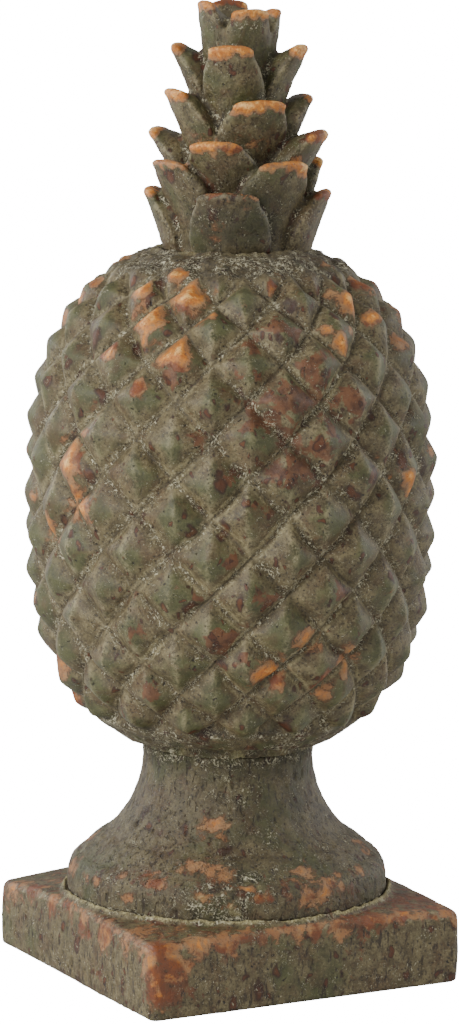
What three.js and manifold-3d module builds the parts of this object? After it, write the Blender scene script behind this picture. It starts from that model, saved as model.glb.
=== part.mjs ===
// Terracotta pineapple finial: a crown of leaves on a scaled fruit, on a turned foot, on a square plinth.
// Millimetres, +Z up. The origin is under the middle of the plinth.

import * as THREE from 'three';
import Module from 'manifold-3d';

// Dry joint between two pieces that rest on each other.
const JOINT_GAP = 0.3;

// Plinth: a thick square slab, worn round at its edges, its top falling away from the foot to the corners.
const PLINTH_SIDE = 180;
const PLINTH_THICKNESS = 41;
const PLINTH_CORNER_RADIUS = 6;
const PLINTH_EDGE_RADIUS = 4.5;
const PLINTH_FOOT_EDGE_RADIUS = 2.5;
const PLINTH_BULGE = 1;
const PLINTH_FALL = 3.5;

// Foot: a plain neck that flares out over a rounded band.
const FOOT_HEIGHT = 76;
const FOOT_NECK_RADIUS = 44.5;
const FOOT_NECK_LENGTH = 5;
const FOOT_BAND_RADIUS = 83.5;
const FOOT_BAND_HEIGHT = 19.5;
const FOOT_BAND_TUCK = 6.5;
const FOOT_BAND_STEP = 1.2;
const FOOT_FLARE_RADIUS = 62.5;
const FOOT_FLARE_RISE = 11;
const FOOT_EDGE_RADIUS = 2;

// Fruit: an egg of rounded pyramid scales, set in half-offset rows, with a plain rough shoulder on top.
const FRUIT_HEIGHT = 255.6;
const FRUIT_RADIUS = 106.5;
const FRUIT_BELLY_HEIGHT = 129;
const FRUIT_UPPER_FULLNESS = 2.67;
const FRUIT_LOWER_FULLNESS = 2.7;
const FRUIT_LEDGE = 1.5;
const FRUIT_SHOULDER_RADIUS = 45.5;
const FRUIT_SHOULDER_WIDTH = 13;
const SCALES_ROUND = 16;
const SCALE_ROWS = 15;
const SCALE_RELIEF = 7;
const SCALE_SWELL = 0.16;

// Crown: six tiers of four thick leaves that grow from one core and curl outwards.
const CROWN_HEIGHT = 126.5;
const CROWN_BASE_RADIUS = 37.5;
const CROWN_OFFSET_X = 2.3;
const CROWN_OFFSET_Y = -1.2;
const CROWN_CORE_TOP_RADIUS = 14;
const CROWN_CUP_DEPTH = 9;
const LEAVES_ROUND = 4;
const LEAF_THICKNESS = 6.5;
const LEAF_FLARE = 1.8;
const LEAF_BITE = 2.5;
const LEAF_TIP_WIDTH = 0.62;
const LEAF_ROOT_WIDTH = 0.72;
const LEAF_WIDEST = 0.6;
const LEAF_WEB_SLOPE = 1.3;

// Each tier: turn in degrees, root and tip as shares of the crown's height, and the radius of the leaf's back
// at its root and tip, and half its width, as shares of the crown's base radius. Drops are how much lower the
// tip of each leaf of the tier ends, in millimetres, where they differ.
const TIERS = [
  { turn: -35, root: -0.16, tip: 0.25, rootRadius: 0.94, tipRadius: 1.34, width: 0.62 },
  { turn: 5, root: 0.02, tip: 0.37, rootRadius: 0.88, tipRadius: 1.31, width: 0.58 },
  { turn: -44, root: 0.15, tip: 0.484, rootRadius: 0.76, tipRadius: 1.31, width: 0.56, drops: [0, 0, 0, 5] },
  { turn: -10, root: 0.29, tip: 0.647, rootRadius: 0.66, tipRadius: 1.09, width: 0.55, drops: [3, 0, 0, 5] },
  { turn: -36, root: 0.46, tip: 0.825, rootRadius: 0.56, tipRadius: 1, width: 0.46 },
  { turn: -10, root: 0.62, tip: 1, rootRadius: 0.47, tipRadius: 0.62, width: 0.4, drops: [4, 0, 0, 4] },
];

// Fineness of the facets.
const FOOT_SIDES = 40;
const FOOT_CURVE_STEPS = 4;
const SCALE_STEPS = 2;
const LEAF_SECTIONS = 5;
const LEAF_SIDES = 8;
const PLINTH_SIDE_STEPS = 5;
const PLINTH_CORNER_STEPS = 4;
const CORE_SIDES = 24;

const footBottom = PLINTH_THICKNESS + JOINT_GAP;
const fruitBottom = footBottom + FOOT_HEIGHT + JOINT_GAP;
const crownBottom = fruitBottom + FRUIT_HEIGHT + JOINT_GAP;

// One closed skin through rings of points, each ring turning left about the way from the first to the last.
function loft(rings, leansBack = () => false) {
  const sides = rings[0].length;
  const points = rings.flat();
  const first = points.length;
  points.push(middle(rings[0]), middle(rings[rings.length - 1]));
  const faces = [];
  for (let i = 0; i < rings.length - 1; i++) {
    for (let j = 0; j < sides; j++) {
      const a = i * sides + j;
      const b = i * sides + (j + 1) % sides;
      const c = b + sides;
      const d = a + sides;
      if (leansBack(i, j)) {
        faces.push(a, b, d, b, c, d);
      } else {
        faces.push(a, b, c, a, c, d);
      }
    }
  }
  const last = (rings.length - 1) * sides;
  for (let j = 0; j < sides; j++) {
    const next = (j + 1) % sides;
    faces.push(first, next, j);
    faces.push(first + 1, last + j, last + next);
  }
  const geometry = new THREE.BufferGeometry();
  geometry.setAttribute('position', new THREE.Float32BufferAttribute(points.flatMap((p) => p.toArray()), 3));
  geometry.setIndex(faces);
  geometry.computeVertexNormals();
  return geometry;
}

function middle(ring) {
  const sum = new THREE.Vector3();
  ring.forEach((p) => sum.add(p));
  return sum.divideScalar(ring.length);
}

function polar(radius, angle, z) {
  return new THREE.Vector3(radius * Math.cos(angle), radius * Math.sin(angle), z);
}

function circle(radius, z, sides) {
  return Array.from({ length: sides }, (_, j) => polar(radius, (2 * Math.PI * j) / sides, z));
}

// The slab's outline, drawn in by inset: straight sides and round corners.
function plinthOutline(inset) {
  const half = PLINTH_SIDE / 2 - inset;
  const corner = Math.max(PLINTH_CORNER_RADIUS - inset, 0.5);
  const straight = half - corner;
  const points = [];
  for (let side = 0; side < 4; side++) {
    const turn = (side * Math.PI) / 2;
    for (let k = 0; k < PLINTH_SIDE_STEPS; k++) {
      const along = -straight + (2 * straight * k) / PLINTH_SIDE_STEPS;
      points.push(new THREE.Vector3(half, along, 0).applyAxisAngle(new THREE.Vector3(0, 0, 1), turn));
    }
    for (let k = 0; k < PLINTH_CORNER_STEPS; k++) {
      const angle = (Math.PI / 2) * (k / PLINTH_CORNER_STEPS);
      const point = new THREE.Vector3(straight, straight, 0).add(polar(corner, angle, 0));
      points.push(point.applyAxisAngle(new THREE.Vector3(0, 0, 1), turn));
    }
  }
  return points;
}

// Height of the slab's top: flat under the foot, lower towards the corners.
function plinthTop(point) {
  const reach = Math.hypot(point.x, point.y) - FOOT_BAND_RADIUS;
  const cornerReach = PLINTH_SIDE / Math.SQRT2 - FOOT_BAND_RADIUS;
  return PLINTH_THICKNESS - PLINTH_FALL * THREE.MathUtils.clamp(reach / cornerReach, 0, 1);
}

// Rings up the slab's side: a quarter round, a belly at half height, and a quarter round again, then the seat.
function plinthGeometry() {
  const arc = (quarter) => 1 - Math.cos((quarter * Math.PI) / 2);
  const lower = (q) => {
    const inset = PLINTH_BULGE + PLINTH_FOOT_EDGE_RADIUS * arc(1 - q);
    return plinthOutline(inset).map((p) => p.setZ(PLINTH_FOOT_EDGE_RADIUS * arc(q)));
  };
  const upper = (q) => {
    const inset = PLINTH_BULGE + PLINTH_EDGE_RADIUS * arc(q);
    return plinthOutline(inset).map((p) => p.setZ(plinthTop(p) - PLINTH_EDGE_RADIUS * arc(1 - q)));
  };
  const belly = plinthOutline(0).map((p) => p.setZ(plinthTop(p) / 2));
  const rings = [lower(0), lower(0.5), lower(1), belly, upper(0), upper(0.5), upper(1)];
  const seat = rings[rings.length - 1].map((p) => {
    const radius = Math.min(FOOT_BAND_RADIUS, Math.hypot(p.x, p.y)) - PLINTH_BULGE;
    return polar(radius, Math.atan2(p.y, p.x), PLINTH_THICKNESS);
  });
  return loft([...rings, seat]);
}

// The foot turned from half its outline: the rounded band, a small step in, a full shoulder and a hollow flare
// that ends in the neck.
function footGeometry() {
  const creaseRadius = FOOT_BAND_RADIUS - FOOT_BAND_TUCK;
  const shoulderRadius = creaseRadius - FOOT_BAND_STEP;
  const shoulderHeight = FOOT_BAND_HEIGHT + FOOT_BAND_STEP / 2;
  const shoulderWidth = shoulderRadius - FOOT_FLARE_RADIUS;
  const flareHeight = FOOT_BAND_HEIGHT + FOOT_FLARE_RISE;
  const flareWidth = FOOT_FLARE_RADIUS - FOOT_NECK_RADIUS;
  const neckBottom = FOOT_HEIGHT - FOOT_NECK_LENGTH;
  const flareRise = neckBottom - flareHeight;
  const outline = new THREE.Path();
  outline.moveTo(FOOT_BAND_RADIUS - FOOT_EDGE_RADIUS, 0);
  outline.quadraticCurveTo(FOOT_BAND_RADIUS, 0, FOOT_BAND_RADIUS, FOOT_EDGE_RADIUS);
  outline.bezierCurveTo(
    FOOT_BAND_RADIUS, 0.5 * FOOT_BAND_HEIGHT,
    FOOT_BAND_RADIUS, 0.8 * FOOT_BAND_HEIGHT,
    creaseRadius, FOOT_BAND_HEIGHT,
  );
  outline.lineTo(shoulderRadius, shoulderHeight);
  outline.quadraticCurveTo(
    shoulderRadius - 0.45 * shoulderWidth, shoulderHeight + 0.6 * (flareHeight - shoulderHeight),
    FOOT_FLARE_RADIUS, flareHeight,
  );
  outline.bezierCurveTo(
    FOOT_FLARE_RADIUS - 0.55 * flareWidth, flareHeight + 0.22 * flareRise,
    FOOT_NECK_RADIUS, flareHeight + 0.6 * flareRise,
    FOOT_NECK_RADIUS, neckBottom,
  );
  outline.lineTo(FOOT_NECK_RADIUS, FOOT_HEIGHT);
  const points = outline.getPoints(FOOT_CURVE_STEPS);
  const closed = [new THREE.Vector2(0, 0), ...points, new THREE.Vector2(0, FOOT_HEIGHT)];
  const geometry = new THREE.LatheGeometry(closed, FOOT_SIDES);
  geometry.rotateX(Math.PI / 2);
  return geometry;
}

// The fruit's outline over the scale tips: radius at a height above its underside.
function fruitRadius(height) {
  const above = height > FRUIT_BELLY_HEIGHT;
  const fullness = above ? FRUIT_UPPER_FULLNESS : FRUIT_LOWER_FULLNESS;
  const endRadius = above ? FRUIT_SHOULDER_RADIUS : FOOT_NECK_RADIUS + FRUIT_LEDGE;
  const endReach = above ? FRUIT_HEIGHT - FRUIT_BELLY_HEIGHT : FRUIT_BELLY_HEIGHT;
  const halfHeight = endReach / (1 - (endRadius / FRUIT_RADIUS) ** fullness) ** (1 / fullness);
  const share = Math.abs(height - FRUIT_BELLY_HEIGHT) / halfHeight;
  return FRUIT_RADIUS * (1 - share ** fullness) ** (1 / fullness);
}

// The outline walked at even lengths: the point and its outward slope at each length from the underside.
function fruitWalk() {
  const steps = 2000;
  const walk = [{ length: 0, height: 0, radius: fruitRadius(0) }];
  for (let k = 1; k <= steps; k++) {
    const height = (FRUIT_HEIGHT * k) / steps;
    const radius = fruitRadius(height);
    const before = walk[k - 1];
    const length = before.length + Math.hypot(height - before.height, radius - before.radius);
    walk.push({ length, height, radius });
  }
  return walk;
}

function fruitPointAt(walk, length) {
  let k = walk.findIndex((p) => p.length >= length);
  k = k < 1 ? 1 : k;
  const a = walk[k - 1];
  const b = walk[k];
  const share = THREE.MathUtils.clamp((length - a.length) / (b.length - a.length), 0, 1);
  const run = Math.hypot(b.height - a.height, b.radius - a.radius);
  return {
    height: THREE.MathUtils.lerp(a.height, b.height, share),
    radius: THREE.MathUtils.lerp(a.radius, b.radius, share),
    outRadius: (b.height - a.height) / run,
    outHeight: (a.radius - b.radius) / run,
  };
}

// Height of a scale, 0 in the grooves and 1 at the tip, where a tip lies wherever row + column is even.
function scaleHeight(row, column) {
  const fromEven = (value) => Math.abs(value - 2 * Math.round(value / 2));
  const share = 1 - Math.max(fromEven(row + column), fromEven(row - column));
  return share + SCALE_SWELL * Math.sin(Math.PI * share);
}

function fruitGeometry() {
  const walk = fruitWalk();
  const total = walk[walk.length - 1].length;
  const pitch = (total - FRUIT_SHOULDER_WIDTH) / SCALE_ROWS;
  const sides = 2 * SCALES_ROUND * SCALE_STEPS;
  const rings = [];
  for (let i = 0; i <= SCALE_ROWS * SCALE_STEPS; i++) {
    const row = i / SCALE_STEPS;
    const edge = Math.min(row, SCALE_ROWS - row);
    const relief = SCALE_RELIEF * THREE.MathUtils.clamp(edge, 0, 1);
    const place = fruitPointAt(walk, row * pitch);
    const ring = [];
    for (let j = 0; j < sides; j++) {
      const depth = relief * (1 - scaleHeight(row, j / SCALE_STEPS));
      const angle = (2 * Math.PI * j) / sides;
      ring.push(polar(place.radius - depth * place.outRadius, angle, place.height - depth * place.outHeight));
    }
    rings.push(ring);
  }
  rings.push(circle(walk[walk.length - 1].radius, FRUIT_HEIGHT, sides));
  const leansBack = (i, j) => (Math.floor(i / SCALE_STEPS) + Math.floor(j / SCALE_STEPS)) % 2 === 0;
  return loft(rings, leansBack);
}

// One leaf: ovals along a spine that leans out more and more, wide below and blunt at the tip. A web fills the
// angle between its upper face and the core.
function leafGeometry(tier, angle, drop) {
  const rootRadius = CROWN_BASE_RADIUS * tier.rootRadius - LEAF_THICKNESS / 2;
  const tipRadius = CROWN_BASE_RADIUS * tier.tipRadius - LEAF_THICKNESS / 2;
  const rootHeight = CROWN_HEIGHT * tier.root;
  const tipHeight = CROWN_HEIGHT * tier.tip - drop;
  const spine = (share) => new THREE.Vector2(
    THREE.MathUtils.lerp(rootRadius, tipRadius, share ** LEAF_FLARE),
    THREE.MathUtils.lerp(rootHeight, tipHeight, share),
  );
  const rings = [];
  for (let i = 0; i <= LEAF_SECTIONS; i++) {
    const share = Math.sin((Math.PI * i) / (2 * LEAF_SECTIONS));
    const here = spine(share);
    const along = spine(share + 0.01).sub(spine(share - Math.min(share, 0.01))).normalize();
    const spread = THREE.MathUtils.lerp(LEAF_ROOT_WIDTH, 1, THREE.MathUtils.smoothstep(share, 0, LEAF_WIDEST));
    const close = Math.max((1 - share ** 5) ** 0.5, LEAF_TIP_WIDTH);
    const halfWidth = CROWN_BASE_RADIUS * tier.width * spread * close;
    const halfThickness = (LEAF_THICKNESS / 2) * Math.max((1 - share ** 8) ** 0.5, LEAF_TIP_WIDTH);
    const web = LEAF_WEB_SLOPE * (tipHeight - here.y);
    const inDepth = Math.min(halfThickness + web, 0.7 * here.x);
    const ring = [];
    for (let j = 0; j < LEAF_SIDES; j++) {
      const round = (2 * Math.PI * j) / LEAF_SIDES;
      const out = Math.cos(round) * (Math.cos(round) > 0 ? halfThickness : inDepth);
      const aside = halfWidth * Math.sin(round);
      ring.push(polar(here.x + out * along.y, angle + aside / here.x, here.y - out * along.x));
    }
    rings.push(ring);
  }
  return loft(rings);
}

function coreGeometry() {
  return loft([
    circle(CROWN_BASE_RADIUS - LEAF_THICKNESS + LEAF_BITE, 0, CORE_SIDES),
    circle(CROWN_CORE_TOP_RADIUS, CROWN_HEIGHT - CROWN_CUP_DEPTH, CORE_SIDES),
  ]);
}

const wasm = await Module();
wasm.setup();

function toSolid(geometry) {
  const vertProperties = new Float32Array(geometry.getAttribute('position').array);
  const triVerts = new Uint32Array(geometry.index.array);
  return new wasm.Manifold(new wasm.Mesh({ numProp: 3, vertProperties, triVerts }));
}

function toGeometry(solid) {
  const mesh = solid.getMesh();
  const geometry = new THREE.BufferGeometry();
  geometry.setAttribute('position', new THREE.BufferAttribute(mesh.vertProperties, 3));
  geometry.setIndex(new THREE.BufferAttribute(mesh.triVerts, 1));
  geometry.computeVertexNormals();
  return geometry;
}

// The leaves fused with the core, and cut flat underneath.
function crownGeometry() {
  let solid = toSolid(coreGeometry());
  for (const tier of TIERS) {
    for (let k = 0; k < LEAVES_ROUND; k++) {
      const angle = THREE.MathUtils.degToRad(tier.turn) + (2 * Math.PI * k) / LEAVES_ROUND;
      solid = solid.add(toSolid(leafGeometry(tier, angle, tier.drops?.[k] ?? 0)));
    }
  }
  const reach = 4 * CROWN_BASE_RADIUS;
  const below = loft([circle(reach, -CROWN_HEIGHT, CORE_SIDES), circle(reach, 0, CORE_SIDES)]);
  return toGeometry(solid.subtract(toSolid(below)));
}

function piece(name, geometry, color, x, y, z) {
  const material = new THREE.MeshStandardMaterial({ color, roughness: 0.85, metalness: 0 });
  const mesh = new THREE.Mesh(geometry, material);
  mesh.name = name;
  mesh.position.set(x, y, z);
  return mesh;
}

const finial = new THREE.Group();
finial.add(piece('plinth', plinthGeometry(), 0x77684f, 0, 0, 0));
finial.add(piece('foot', footGeometry(), 0x6d6751, 0, 0, footBottom));
finial.add(piece('fruit', fruitGeometry(), 0x68674d, 0, 0, fruitBottom));
finial.add(piece('crown', crownGeometry(), 0x6c6a50, CROWN_OFFSET_X, CROWN_OFFSET_Y, crownBottom));

export default finial;
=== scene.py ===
"""Looks of the terracotta pineapple finial: a square plinth, a turned foot, the scaled fruit and its crown of
leaves. Metres, +Z up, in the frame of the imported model.
"""

import itertools

import bpy
import numpy as np
from mathutils import Matrix


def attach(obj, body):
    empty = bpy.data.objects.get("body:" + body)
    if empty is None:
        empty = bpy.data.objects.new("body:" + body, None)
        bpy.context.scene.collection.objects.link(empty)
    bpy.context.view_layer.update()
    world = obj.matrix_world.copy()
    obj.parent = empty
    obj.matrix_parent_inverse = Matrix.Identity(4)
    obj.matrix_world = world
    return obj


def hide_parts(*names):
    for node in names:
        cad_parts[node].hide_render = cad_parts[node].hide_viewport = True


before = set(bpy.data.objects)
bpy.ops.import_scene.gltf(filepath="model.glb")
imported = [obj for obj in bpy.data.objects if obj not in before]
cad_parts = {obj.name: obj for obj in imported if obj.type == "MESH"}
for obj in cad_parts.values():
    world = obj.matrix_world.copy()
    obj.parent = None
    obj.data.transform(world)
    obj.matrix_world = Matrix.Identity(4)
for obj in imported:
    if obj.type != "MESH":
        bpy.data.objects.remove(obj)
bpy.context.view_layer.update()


# Plinth: a thick square slab of fired clay, worn round at its edges and rubbed through to the orange clay
# along its top. A bead of pale gritty mortar, laid by hand, closes the joint round the foot.

PLINTH_SIDE = 0.180
PLINTH_THICKNESS = 0.041
PLINTH_FALL = 0.0035
PLINTH_CORNER_RADIUS = 0.006
PLINTH_UPPER_EDGE_RADIUS = 0.0045
PLINTH_LOWER_EDGE_RADIUS = 0.002
PLINTH_BULGE = 0.0006
PLINTH_SIDE_STEPS = 150
PLINTH_CORNER_STEPS = 12
SEAT_RADIUS = 0.0835
SEAT_OVERLAP = 0.0015
MORTAR_RADIUS = 0.0849
MORTAR_WIDTH = 0.0015
MORTAR_HEIGHT = 0.0026
MORTAR_REACH = 0.0032
MM = 0.001

# Rings of points: round the lower edge, up the side, round the upper edge and in over the top.
PLINTH_RINGS = (6, 36, 11, 28)

# Places on the slab, as x, y, z and how far each reaches: the corner towards the camera, the charred patch on
# it, the low corner on the left, and where the patina is rubbed off.
PLINTH_FRONT_CORNER = (-0.09, -0.09, 0.03, 0.045)
PLINTH_CHARRED = (-0.080, -0.09, 0.017, 0.016)
PLINTH_LOW_CORNER = (-0.09, 0.09, 0.04, 0.09)
PLINTH_LOW_CORNER_DROP = 0.003
PLINTH_RUB_SPREAD = 1.25
PLINTH_WEAR = [
    (-0.085, -0.087, 0.037, 0.020), (-0.086, -0.090, 0.024, 0.018), (-0.084, -0.090, 0.013, 0.012),
    (-0.076, -0.089, 0.027, 0.016), (-0.064, -0.088, 0.036, 0.013), (-0.047, -0.088, 0.036, 0.013),
    (-0.027, -0.089, 0.037, 0.008), (-0.008, -0.089, 0.036, 0.009), (0.016, -0.089, 0.035, 0.011),
    (0.035, -0.088, 0.038, 0.008), (0.056, -0.086, 0.039, 0.010), (0.078, -0.082, 0.039, 0.012),
    (0.086, -0.088, 0.034, 0.009), (-0.089, 0.073, 0.034, 0.018), (-0.087, 0.051, 0.039, 0.015),
    (-0.089, 0.024, 0.036, 0.013), (-0.089, -0.013, 0.034, 0.014), (-0.089, -0.037, 0.034, 0.015),
    (-0.085, -0.060, 0.038, 0.016), (-0.086, 0.003, 0.039, 0.013), (-0.088, 0.085, 0.028, 0.009),
    (0.088, 0.087, 0.034, 0.017), (0.089, 0.030, 0.037, 0.010), (0.089, -0.040, 0.037, 0.009),
    (0.040, 0.089, 0.036, 0.011), (-0.030, 0.089, 0.037, 0.009), (-0.086, 0.086, 0.030, 0.010),
]


def hashed(cell, seed):
    """A steady chance number from 0 to 1 for each whole-number cell: its three numbers times large primes are
    summed, and the sum's bits are shifted and mixed."""
    key = (cell.astype(np.int64) & 0xFFFFFFFF).astype(np.uint32)
    primes = np.array([668265263, 2246822519, 3266489917], dtype=np.uint32)
    mixed = (key * primes).sum(axis=-1, dtype=np.uint32) + np.uint32(seed * 374761393 & 0xFFFFFFFF)
    mixed = (mixed ^ (mixed >> np.uint32(13))) * np.uint32(1274126177)
    return (mixed ^ (mixed >> np.uint32(16))) / 4294967296.0


def rough(points, size, seed):
    """Smooth noise from -1 to 1 with lumps about size across: chance values at the corners of a cubic lattice,
    blended along each axis by the share 3t^2 - 2t^3 of the way through the cell."""
    place = points / size
    cell = np.floor(place)
    share = place - cell
    share = share * share * (3 - 2 * share)
    total = np.zeros(points.shape[:-1])
    for corner in itertools.product((0, 1), repeat=3):
        weight = np.prod(np.where(corner, share, 1 - share), axis=-1)
        total += weight * hashed(cell + corner, seed)
    return 2 * total - 1


def step(value, start, end):
    """0 up to start and 1 from end on, with the smooth share 3t^2 - 2t^3 between them."""
    share = np.clip((value - start) / (end - start), 0, 1)
    return share * share * (3 - 2 * share)


def near(points, spots):
    """1 at the middle of the nearest spot, falling evenly to 0 at its reach: the largest of all the spots'
    1 - distance / reach."""
    closest = np.zeros(points.shape[:-1])
    for x, y, z, reach in spots:
        closest = np.maximum(closest, 1 - np.linalg.norm(points - (x, y, z), axis=-1) / reach)
    return closest


def outward(grid):
    """Unit normals of a grid of points: the step round the piece crossed with the step up it."""
    around = np.roll(grid, -1, axis=1) - np.roll(grid, 1, axis=1)
    upward = np.gradient(grid, axis=0)
    normal = np.cross(around, upward)
    return normal / np.maximum(np.linalg.norm(normal, axis=-1, keepdims=True), 1e-12)


def grid_faces(rows, columns, first=0, leans_back=None):
    """Quads between neighbouring rows, each row closed on itself, then a fan under the first row and one over
    the last. The middles of the fans are the two points that follow the grid. Where leans_back is given, each
    quad is cut in two instead, along the diagonal that leans back where it is true and forward elsewhere."""
    row, column = np.meshgrid(np.arange(rows - 1), np.arange(columns), indexing="ij")
    here = first + row * columns + column
    beside = first + row * columns + (column + 1) % columns
    if leans_back is None:
        quads = np.stack([here, beside, beside + columns, here + columns], axis=-1).reshape(-1, 4)
    else:
        last = np.where(leans_back, here + columns, beside + columns)
        start = np.where(leans_back, beside, here)
        first_half = np.stack([here, beside, last], axis=-1)
        second_half = np.stack([start, beside + columns, here + columns], axis=-1)
        quads = np.concatenate([first_half, second_half]).reshape(-1, 3)
    rim = np.arange(columns)
    beyond = (rim + 1) % columns
    top = first + (rows - 1) * columns
    middle = first + rows * columns
    below = np.stack([np.full(columns, middle), first + beyond, first + rim], axis=-1)
    above = np.stack([np.full(columns, middle + 1), top + rim, top + beyond], axis=-1)
    return quads.tolist() + below.tolist() + above.tolist()


def skin(name, points, faces, **surface_values):
    """A smooth-shaded mesh object at the origin, with one number a point for each named surface value."""
    mesh = bpy.data.meshes.new(name)
    mesh.from_pydata(points.tolist(), [], faces)
    mesh.polygons.foreach_set("use_smooth", np.ones(len(mesh.polygons), dtype=bool))
    for value_name, values in surface_values.items():
        layer = mesh.attributes.new(value_name, "FLOAT", "POINT")
        layer.data.foreach_set("value", np.ascontiguousarray(values, dtype=np.float32).ravel())
    mesh.update()
    piece = bpy.data.objects.new(name, mesh)
    bpy.context.scene.collection.objects.link(piece)
    return piece


def closed_skin(name, grid, leans_back=None, **surface_values):
    """A grid of points made a closed skin: the two fans meet at the mean of the first and of the last row."""
    rows, columns = grid.shape[:2]
    ends = np.stack([grid[0].mean(axis=0), grid[-1].mean(axis=0)])
    points = np.concatenate([grid.reshape(-1, 3), ends])
    values = {key: np.concatenate([value.ravel(), [value[0].mean(), value[-1].mean()]])
              for key, value in surface_values.items()}
    return skin(name, points, grid_faces(rows, columns, 0, leans_back), **values)


def slab_outline():
    """Round the slab: points of the inner square and the direction outwards at each. A ring that is drawn in by
    some inset lies at inner point + (corner radius - inset) times direction."""
    steps, bends = PLINTH_SIDE_STEPS, PLINTH_CORNER_STEPS
    straight = PLINTH_SIDE / 2 - PLINTH_CORNER_RADIUS
    along = np.linspace(-straight, straight, steps, endpoint=False)
    turn = np.linspace(0, np.pi / 2, bends, endpoint=False)
    side = np.stack([np.full(steps, straight), along], axis=-1)
    inner = np.concatenate([side, np.full((bends, 2), straight)])
    facing = np.concatenate([np.tile([1.0, 0.0], (steps, 1)), np.stack([np.cos(turn), np.sin(turn)], axis=-1)])
    quarter = np.array([[0.0, 1.0], [-1.0, 0.0]])
    turns = [np.linalg.matrix_power(quarter, k) for k in range(4)]
    return np.concatenate([inner @ t for t in turns]), np.concatenate([facing @ t for t in turns])


def slab_top(points):
    """Height of the slab's top: its thickness, less a fall that grows evenly from the foot to the corners."""
    reach = np.hypot(points[..., 0], points[..., 1]) - SEAT_RADIUS
    return PLINTH_THICKNESS - PLINTH_FALL * np.clip(reach / (PLINTH_SIDE / np.sqrt(2) - SEAT_RADIUS), 0, 1)


def slab_grid():
    """Rings up the slab. The inset follows a quarter circle at the lower edge, a shallow bow up the side and a
    quarter circle at the upper edge; then the rings close in on a circle under the foot, faster at first."""
    lower_rings, side_rings, upper_rings, top_rings = PLINTH_RINGS
    quarter = np.linspace(0, 1, lower_rings)
    bow = np.linspace(0, 1, side_rings)[1:-1]
    upper = np.linspace(0, 1, upper_rings)
    bend = np.pi / 2
    inset = np.concatenate([
        PLINTH_BULGE + PLINTH_LOWER_EDGE_RADIUS * (1 - np.sin(bend * quarter)),
        PLINTH_BULGE * (2 * bow - 1) ** 2,
        PLINTH_BULGE + PLINTH_UPPER_EDGE_RADIUS * (1 - np.cos(bend * upper)),
    ])
    of_top = np.concatenate([0 * quarter, bow, 1 + 0 * upper])
    lift = np.concatenate([
        PLINTH_LOWER_EDGE_RADIUS * (1 - np.cos(bend * quarter)),
        PLINTH_LOWER_EDGE_RADIUS * (1 - bow) - PLINTH_UPPER_EDGE_RADIUS * bow,
        -PLINTH_UPPER_EDGE_RADIUS * (1 - np.sin(bend * upper)),
    ])
    inner, facing = slab_outline()
    flat = inner[None] + (PLINTH_CORNER_RADIUS - inset)[:, None, None] * facing[None]
    sides = np.concatenate([flat, (of_top[:, None] * slab_top(flat) + lift[:, None])[..., None]], axis=-1)
    rim = flat[-1]
    share = (1 - (1 - np.linspace(0, 1, top_rings)[1:]) ** 1.6)[:, None, None]
    circle = (SEAT_RADIUS - SEAT_OVERLAP) * rim / np.linalg.norm(rim, axis=-1, keepdims=True)
    closing = (1 - share) * rim[None] + share * circle[None]
    top = np.concatenate([closing, slab_top(closing)[..., None]], axis=-1)
    return np.concatenate([sides, top])


def worn_slab(grid):
    """The slab's skin moved along its normals: broad, middling and fine unevenness, upright pits on its sides,
    knocks out of its edges, and the bead of mortar, a rounded ridge of uneven height just outside the foot."""
    normal = outward(grid)
    radius = np.hypot(grid[..., 0], grid[..., 1])
    level = step(normal[..., 2], 0.5, 0.9)
    seat = step(radius, SEAT_RADIUS - 0.001, SEAT_RADIUS + 0.001)
    waves = 0.45 * rough(grid, 0.045, 3) + 0.4 * rough(grid, 0.015, 4) + 0.22 * rough(grid, 0.005, 5)
    waves += 0.16 * rough(grid, 0.0023, 6)
    pits = step(rough(grid, np.array([0.0022, 0.0022, 0.006]), 7), 0.3, 0.75) * (1 - level)
    pits += 0.6 * step(rough(grid, np.array([0.0045, 0.0045, 0.012]), 8), 0.35, 0.8) * (1 - level)
    edge = step(normal[..., 2], 0.1, 0.4) * (1 - step(normal[..., 2], 0.75, 1.0))
    knocks = edge * step(rough(grid, 0.012, 9), 0.25, 0.8)
    move = (0.6 * waves - 0.30 - 0.45 * pits - 0.9 * knocks) * MM
    worn = grid + (move * seat)[..., None] * normal
    low = near(grid, [PLINTH_LOW_CORNER]) * step(grid[..., 2], 0.01, 0.035)
    worn[..., 2] -= PLINTH_LOW_CORNER_DROP * low * seat
    bead = np.exp(-(((radius - MORTAR_RADIUS - 0.0006 * rough(grid, 0.009, 10)) / MORTAR_WIDTH) ** 2))
    bead *= step(rough(grid, 0.013, 11), -0.95, -0.2) * step(normal[..., 2], 0.2, 0.7)
    worn[..., 2] += bead * (MORTAR_HEIGHT + 0.0008 * rough(grid, 0.004, 12) + 0.0004 * rough(grid, 0.0016, 13))
    half = PLINTH_SIDE / 2
    worn = np.clip(worn, (-half, -half, 0), (half, half, PLINTH_THICKNESS + MORTAR_REACH))
    worn[0] = np.where([True, True, False], worn[0], 0)
    return worn, bead, edge


def node(tree, kind, inputs=None, **settings):
    """A shader node with its settings, and each named input either linked to a socket or given a value."""
    made = tree.nodes.new(kind)
    for key, value in settings.items():
        setattr(made, key, value)
    for key, value in (inputs or {}).items():
        if isinstance(value, bpy.types.NodeSocket):
            tree.links.new(value, made.inputs[key])
        else:
            made.inputs[key].default_value = value
    return made


def figure(tree, operation, first, second=0.0):
    """A sum, product or other figure of two numbers that change over the surface."""
    return node(tree, "ShaderNodeMath", {0: first, 1: second}, operation=operation).outputs[0]


def band(tree, value, start, end, low=0.0, high=1.0):
    """low up to start and high from end on, with a smooth step between them."""
    inputs = {"Value": value, "From Min": start, "From Max": end, "To Min": low, "To Max": high}
    return node(tree, "ShaderNodeMapRange", inputs, interpolation_type="SMOOTHSTEP").outputs["Result"]


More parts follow.
